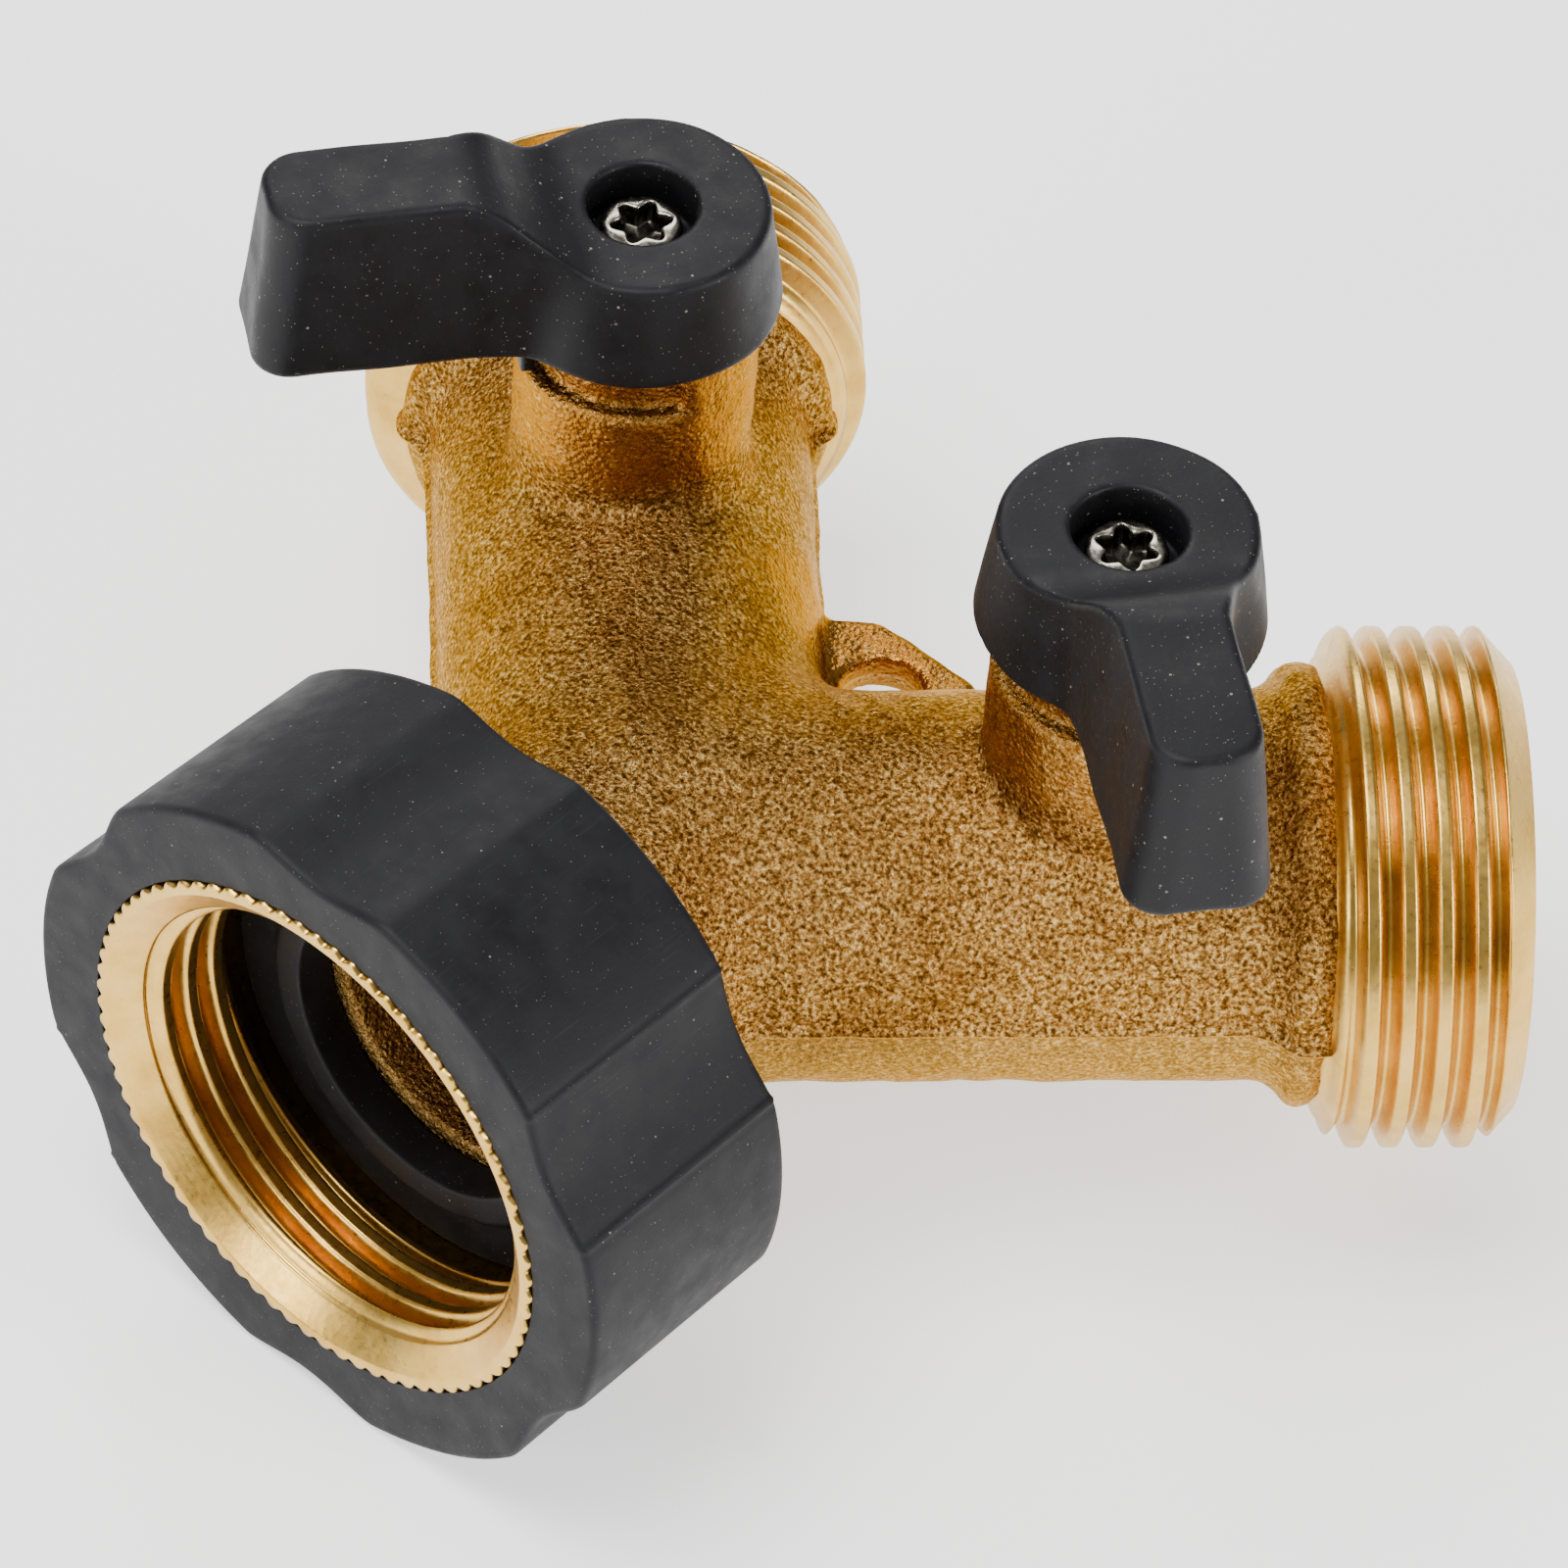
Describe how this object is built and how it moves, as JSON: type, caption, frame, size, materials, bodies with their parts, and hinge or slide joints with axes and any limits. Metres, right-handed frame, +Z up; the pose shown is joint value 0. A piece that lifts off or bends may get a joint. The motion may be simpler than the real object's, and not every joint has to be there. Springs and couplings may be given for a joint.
{
  "type": "hose splitter",
  "caption": "Cast brass Y hose splitter with a rubber-gripped swivel inlet nut, a quarter-turn ball valve in each leg and a threaded outlet on each.",
  "frame": {"origin": "on the inlet's axis where the full thread of the swivel nut starts, 1.9 mm inside its mouth", "axes": "+Z up on the handles' side, the hose comes in from -Y, the legs go out towards +Y at 45 degrees to each side in the plane z = 0"},
  "size_m": [0.0788, 0.0633, 0.0482],
  "materials": {
    "cast_brass": "sand-cast, bead-blasted, coarse sparkling grain",
    "turned_brass": "turned, bright, fine tool lines",
    "grip_rubber": "moulded, matt, with fine scuffs",
    "washer_rubber": "moulded, matt",
    "ring_rubber": "moulded, greased",
    "handle_plastic": "moulded, satin",
    "seat_plastic": "turned white fluoropolymer",
    "ball_chrome": "polished plating",
    "screw_steel": "bright zinc plated",
    "spring_steel": "drawn wire"
  },
  "bodies": {
    "casting": {"valve_body": "cast_brass", "nut_snap_ring": "spring_steel", "left_inner_seat": "seat_plastic", "left_outer_seat": "seat_plastic", "left_seat_retainer": "turned_brass", "right_inner_seat": "seat_plastic", "right_outer_seat": "seat_plastic", "right_seat_retainer": "turned_brass"},
    "inlet_nut": {"swivel_nut": "turned_brass", "nut_grip": "grip_rubber", "hose_washer": "washer_rubber"},
    "left_valve": {"left_ball": "ball_chrome", "left_stem": "turned_brass", "left_lower_o_ring": "ring_rubber", "left_upper_o_ring": "ring_rubber", "left_thrust_washer": "seat_plastic", "left_handle": "handle_plastic", "left_handle_screw": "screw_steel"},
    "right_valve": {"right_ball": "ball_chrome", "right_stem": "turned_brass", "right_lower_o_ring": "ring_rubber", "right_upper_o_ring": "ring_rubber", "right_thrust_washer": "seat_plastic", "right_handle": "handle_plastic", "right_handle_screw": "screw_steel"}
  },
  "joints": [
    {"name": "inlet_swivel", "type": "hinge", "parent": "casting", "child": "inlet_nut", "pos_m": [0, 0, 0], "axis": [0, 1, 0], "continuous": true},
    {"name": "left_handle_turn", "type": "hinge", "parent": "casting", "child": "left_valve", "pos_m": [-0.01621, 0.03821, 0], "axis": [0, 0, 1], "range_deg": [-17, 81]},
    {"name": "right_handle_turn", "type": "hinge", "parent": "casting", "child": "right_valve", "pos_m": [0.01621, 0.03821, 0], "axis": [0, 0, -1], "range_deg": [-0.5, 97.5]}
  ]
}
